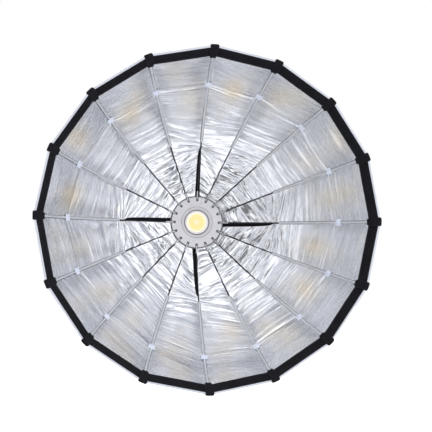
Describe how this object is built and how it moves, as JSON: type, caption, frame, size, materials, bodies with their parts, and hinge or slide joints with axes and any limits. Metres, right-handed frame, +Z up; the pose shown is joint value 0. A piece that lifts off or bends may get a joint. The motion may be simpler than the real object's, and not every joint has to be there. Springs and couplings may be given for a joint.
{
  "type": "umbrella reflector",
  "caption": "Folding round studio light reflector: a silver-lined cloth dish on bowed steel ribs hinged to a slotted hub, with a black hem, a lamp in the middle and a bayonet collar behind.",
  "frame": {"origin": "centre of the flat rear seat round the bayonet collar", "axes": "+Z up, the dish opens towards -Y, and +Y is the dish axis pointing back into the light that holds it"},
  "size_m": [0.9, 0.3878, 0.9],
  "materials": {
    "satin_aluminium": "satin",
    "dark_aluminium": "satin",
    "steel": "satin",
    "rib_steel": "satin",
    "silver_cloth": "satin metallic",
    "black_cloth": "matte",
    "black_rubber": "matte",
    "white_plastic": "matte",
    "phosphor": "matte"
  },
  "bodies": {
    "hub": {"front_plate": "satin_aluminium", "hub_body": "dark_aluminium", "hinge_pins": "steel", "plate_screws": "steel", "bayonet_collar": "dark_aluminium", "collar_screws": "steel", "lamp_body": "dark_aluminium", "lamp_bezel": "satin_aluminium", "lamp_gasket": "black_rubber", "lamp_reflector": "white_plastic", "lamp_emitter": "phosphor"},
    "rib_body_01": {"rib_01": "rib_steel", "panel_01": "silver_cloth", "trim_01": "black_cloth"},
    "rib_body_02": {"rib_02": "rib_steel", "panel_02": "silver_cloth", "trim_02": "black_cloth"},
    "rib_body_03": {"rib_03": "rib_steel", "panel_03": "silver_cloth", "trim_03": "black_cloth"},
    "rib_body_04": {"rib_04": "rib_steel", "panel_04": "silver_cloth", "trim_04": "black_cloth"},
    "rib_body_05": {"rib_05": "rib_steel", "panel_05": "silver_cloth", "trim_05": "black_cloth"},
    "rib_body_06": {"rib_06": "rib_steel", "panel_06": "silver_cloth", "trim_06": "black_cloth"},
    "rib_body_07": {"rib_07": "rib_steel", "panel_07": "silver_cloth", "trim_07": "black_cloth"},
    "rib_body_08": {"rib_08": "rib_steel", "panel_08": "silver_cloth", "trim_08": "black_cloth"},
    "rib_body_09": {"rib_09": "rib_steel", "panel_09": "silver_cloth", "trim_09": "black_cloth"},
    "rib_body_10": {"rib_10": "rib_steel", "panel_10": "silver_cloth", "trim_10": "black_cloth"},
    "rib_body_11": {"rib_11": "rib_steel", "panel_11": "silver_cloth", "trim_11": "black_cloth"},
    "rib_body_12": {"rib_12": "rib_steel", "panel_12": "silver_cloth", "trim_12": "black_cloth"},
    "rib_body_13": {"rib_13": "rib_steel", "panel_13": "silver_cloth", "trim_13": "black_cloth"},
    "rib_body_14": {"rib_14": "rib_steel", "panel_14": "silver_cloth", "trim_14": "black_cloth"},
    "rib_body_15": {"rib_15": "rib_steel", "panel_15": "silver_cloth", "trim_15": "black_cloth"},
    "rib_body_16": {"rib_16": "rib_steel", "panel_16": "silver_cloth", "trim_16": "black_cloth"}
  },
  "joints": [
    {"name": "fold_01", "type": "hinge", "parent": "hub", "child": "rib_body_01", "pos_m": [0, -0.0204, 0.071], "axis": [1, 0, 0], "range_deg": [0, 44], "deforming": ["panel_01", "trim_01"]},
    {"name": "fold_02", "type": "hinge", "parent": "hub", "child": "rib_body_02", "pos_m": [0.02717, -0.0204, 0.0656], "axis": [0.9239, 0, -0.3827], "range_deg": [0, 44], "deforming": ["panel_02", "trim_02"]},
    {"name": "fold_03", "type": "hinge", "parent": "hub", "child": "rib_body_03", "pos_m": [0.0502, -0.0204, 0.0502], "axis": [0.7071, 0, -0.7071], "range_deg": [0, 44], "deforming": ["panel_03", "trim_03"]},
    {"name": "fold_04", "type": "hinge", "parent": "hub", "child": "rib_body_04", "pos_m": [0.0656, -0.0204, 0.02717], "axis": [0.3827, 0, -0.9239], "range_deg": [0, 44], "deforming": ["panel_04", "trim_04"]},
    {"name": "fold_05", "type": "hinge", "parent": "hub", "child": "rib_body_05", "pos_m": [0.071, -0.0204, 0], "axis": [0, 0, -1], "range_deg": [0, 44], "deforming": ["panel_05", "trim_05"]},
    {"name": "fold_06", "type": "hinge", "parent": "hub", "child": "rib_body_06", "pos_m": [0.0656, -0.0204, -0.02717], "axis": [-0.3827, 0, -0.9239], "range_deg": [0, 44], "deforming": ["panel_06", "trim_06"]},
    {"name": "fold_07", "type": "hinge", "parent": "hub", "child": "rib_body_07", "pos_m": [0.0502, -0.0204, -0.0502], "axis": [-0.7071, 0, -0.7071], "range_deg": [0, 44], "deforming": ["panel_07", "trim_07"]},
    {"name": "fold_08", "type": "hinge", "parent": "hub", "child": "rib_body_08", "pos_m": [0.02717, -0.0204, -0.0656], "axis": [-0.9239, 0, -0.3827], "range_deg": [0, 44], "deforming": ["panel_08", "trim_08"]},
    {"name": "fold_09", "type": "hinge", "parent": "hub", "child": "rib_body_09", "pos_m": [0, -0.0204, -0.071], "axis": [-1, 0, 0], "range_deg": [0, 44], "deforming": ["panel_09", "trim_09"]},
    {"name": "fold_10", "type": "hinge", "parent": "hub", "child": "rib_body_10", "pos_m": [-0.02717, -0.0204, -0.0656], "axis": [-0.9239, 0, 0.3827], "range_deg": [0, 44], "deforming": ["panel_10", "trim_10"]},
    {"name": "fold_11", "type": "hinge", "parent": "hub", "child": "rib_body_11", "pos_m": [-0.0502, -0.0204, -0.0502], "axis": [-0.7071, 0, 0.7071], "range_deg": [0, 44], "deforming": ["panel_11", "trim_11"]},
    {"name": "fold_12", "type": "hinge", "parent": "hub", "child": "rib_body_12", "pos_m": [-0.0656, -0.0204, -0.02717], "axis": [-0.3827, 0, 0.9239], "range_deg": [0, 44], "deforming": ["panel_12", "trim_12"]},
    {"name": "fold_13", "type": "hinge", "parent": "hub", "child": "rib_body_13", "pos_m": [-0.071, -0.0204, 0], "axis": [0, 0, 1], "range_deg": [0, 44], "deforming": ["panel_13", "trim_13"]},
    {"name": "fold_14", "type": "hinge", "parent": "hub", "child": "rib_body_14", "pos_m": [-0.0656, -0.0204, 0.02717], "axis": [0.3827, 0, 0.9239], "range_deg": [0, 44], "deforming": ["panel_14", "trim_14"]},
    {"name": "fold_15", "type": "hinge", "parent": "hub", "child": "rib_body_15", "pos_m": [-0.0502, -0.0204, 0.0502], "axis": [0.7071, 0, 0.7071], "range_deg": [0, 44], "deforming": ["panel_15", "trim_15"]},
    {"name": "fold_16", "type": "hinge", "parent": "hub", "child": "rib_body_16", "pos_m": [-0.02717, -0.0204, 0.0656], "axis": [0.9239, 0, 0.3827], "range_deg": [0, 44], "deforming": ["panel_16", "trim_16"]}
  ],
  "couplings": [
    {"joint": "fold_02", "follows": "fold_01", "ratio": 1},
    {"joint": "fold_03", "follows": "fold_01", "ratio": 1},
    {"joint": "fold_04", "follows": "fold_01", "ratio": 1},
    {"joint": "fold_05", "follows": "fold_01", "ratio": 1},
    {"joint": "fold_06", "follows": "fold_01", "ratio": 1},
    {"joint": "fold_07", "follows": "fold_01", "ratio": 1},
    {"joint": "fold_08", "follows": "fold_01", "ratio": 1},
    {"joint": "fold_09", "follows": "fold_01", "ratio": 1},
    {"joint": "fold_10", "follows": "fold_01", "ratio": 1},
    {"joint": "fold_11", "follows": "fold_01", "ratio": 1},
    {"joint": "fold_12", "follows": "fold_01", "ratio": 1},
    {"joint": "fold_13", "follows": "fold_01", "ratio": 1},
    {"joint": "fold_14", "follows": "fold_01", "ratio": 1},
    {"joint": "fold_15", "follows": "fold_01", "ratio": 1},
    {"joint": "fold_16", "follows": "fold_01", "ratio": 1}
  ]
}
